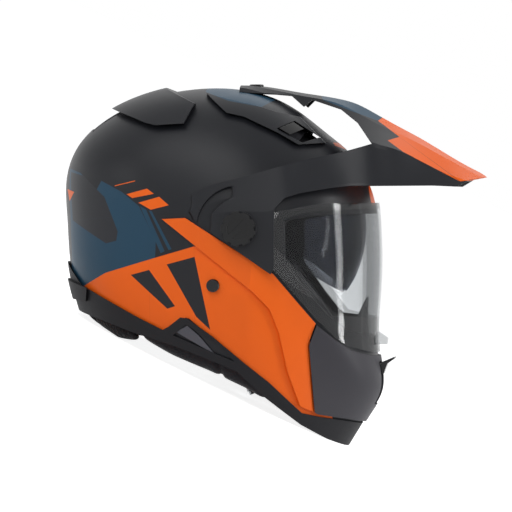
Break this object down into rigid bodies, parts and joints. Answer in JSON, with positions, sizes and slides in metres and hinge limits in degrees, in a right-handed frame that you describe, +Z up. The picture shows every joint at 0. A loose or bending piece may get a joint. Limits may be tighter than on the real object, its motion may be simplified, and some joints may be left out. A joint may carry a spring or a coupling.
{
  "type": "dual sport helmet",
  "caption": "Full face dual sport helmet with a peak, lifting clear face shield, drop-down sun visor, vents, removable pads and a ratchet chin strap.",
  "frame": {"origin": "centre of the bounding box, at the surface the helmet rests on", "axes": "+X to the front, along the peak; +Y to the wearer's left; +Z up from the surface it rests on"},
  "size_m": [0.3442, 0.2682, 0.2791],
  "materials": {
    "shell_paint": "satin painted composite shell",
    "trim_black": "fine textured black moulding",
    "cover_satin": "satin dark grey moulding",
    "peak_paint": "painted moulding, orange tip on black arms",
    "hardware_black": "glossy black moulding",
    "shield_clear": "clear polycarbonate",
    "visor_tint": "smoke tinted polycarbonate",
    "gasket_rubber": "soft seal",
    "foam": "moulded expanded polystyrene, light",
    "lining": "brushed knit over open foam",
    "webbing": "woven strap",
    "steel": "brushed"
  },
  "bodies": {
    "helmet": {"shell": "shell_paint", "eps_liner": "foam", "eps_chin": "foam", "cheek_eps_right": "foam", "cheek_eps_left": "foam", "comfort_liner": "lining", "cheek_pad_right": "lining", "cheek_pad_left": "lining", "neck_roll": "lining", "base_trim": "trim_black", "front_cover_right": "cover_satin", "front_cover_left": "cover_satin", "chin_cover": "cover_satin", "chin_vent_grille": "trim_black", "breath_deflector": "gasket_rubber", "eyeport_gasket": "gasket_rubber", "spoiler": "cover_satin", "rear_vent_grille": "trim_black", "top_vent_right": "cover_satin", "top_vent_left": "cover_satin", "shield_base_right": "trim_black", "shield_base_left": "trim_black", "shield_base_screws": "steel", "visor_pivots": "trim_black", "peak": "peak_paint", "peak_top_screw": "hardware_black", "strap_right": "webbing", "strap_left": "webbing", "strap_anchor_right": "steel", "strap_anchor_left": "steel", "strap_rivet_right": "hardware_black", "strap_rivet_left": "hardware_black", "buckle_body": "steel", "buckle_tongue": "trim_black"},
    "face_shield": {"face_shield": "shield_clear"},
    "sun_visor": {"sun_visor": "visor_tint"},
    "visor_lever": {"visor_lever": "hardware_black"},
    "knob_right": {"peak_knob_right": "hardware_black"},
    "knob_left": {"peak_knob_left": "hardware_black"},
    "slider_right": {"top_vent_slider_right": "hardware_black"},
    "slider_left": {"top_vent_slider_left": "hardware_black"},
    "chin_shutter": {"chin_vent_shutter": "hardware_black"},
    "buckle_lever": {"buckle_lever": "hardware_black"}
  },
  "joints": [
    {"name": "shield_lift", "type": "hinge", "parent": "helmet", "child": "face_shield", "pos_m": [0.00055, 0, 0.13699], "axis": [0, -1, 0], "range_deg": [0, 40]},
    {"name": "sun_visor_lift", "type": "hinge", "parent": "helmet", "child": "sun_visor", "pos_m": [0.00055, 0, 0.13699], "axis": [0, -1, 0], "range_deg": [0, 42]},
    {"name": "visor_lever_slide", "type": "slide", "parent": "helmet", "child": "visor_lever", "axis": [-0.996, -0.0851, 0.0271], "range_m": [0, 0.016]},
    {"name": "knob_right_turn", "type": "hinge", "parent": "helmet", "child": "knob_right", "pos_m": [0.00055, -0.1308, 0.13699], "axis": [0, -1, 0], "continuous": true},
    {"name": "knob_left_turn", "type": "hinge", "parent": "helmet", "child": "knob_left", "pos_m": [0.00055, 0.1308, 0.13699], "axis": [0, 1, 0], "continuous": true},
    {"name": "top_vent_right_slide", "type": "slide", "parent": "helmet", "child": "slider_right", "axis": [0.9581, 0.2704, -0.0946], "range_m": [0, 0.008]},
    {"name": "top_vent_left_slide", "type": "slide", "parent": "helmet", "child": "slider_left", "axis": [0.9581, -0.2704, -0.0946], "range_m": [0, 0.008]},
    {"name": "chin_shutter_tilt", "type": "hinge", "parent": "helmet", "child": "chin_shutter", "pos_m": [0.15892, 0, 0.0784], "axis": [0, -1, 0], "range_deg": [0, 18]},
    {"name": "buckle_lever_release", "type": "hinge", "parent": "helmet", "child": "buckle_lever", "pos_m": [0.07328, -0.0103, 0.01326], "axis": [-0.6893, 0, -0.7245], "range_deg": [0, 40], "stiffness_Nm_per_rad": 0.03, "springref_deg": -22.92}
  ],
  "couplings": [
    {"joint": "visor_lever_slide", "follows": "sun_visor_lift", "m_per_rad": 0.021825}
  ]
}
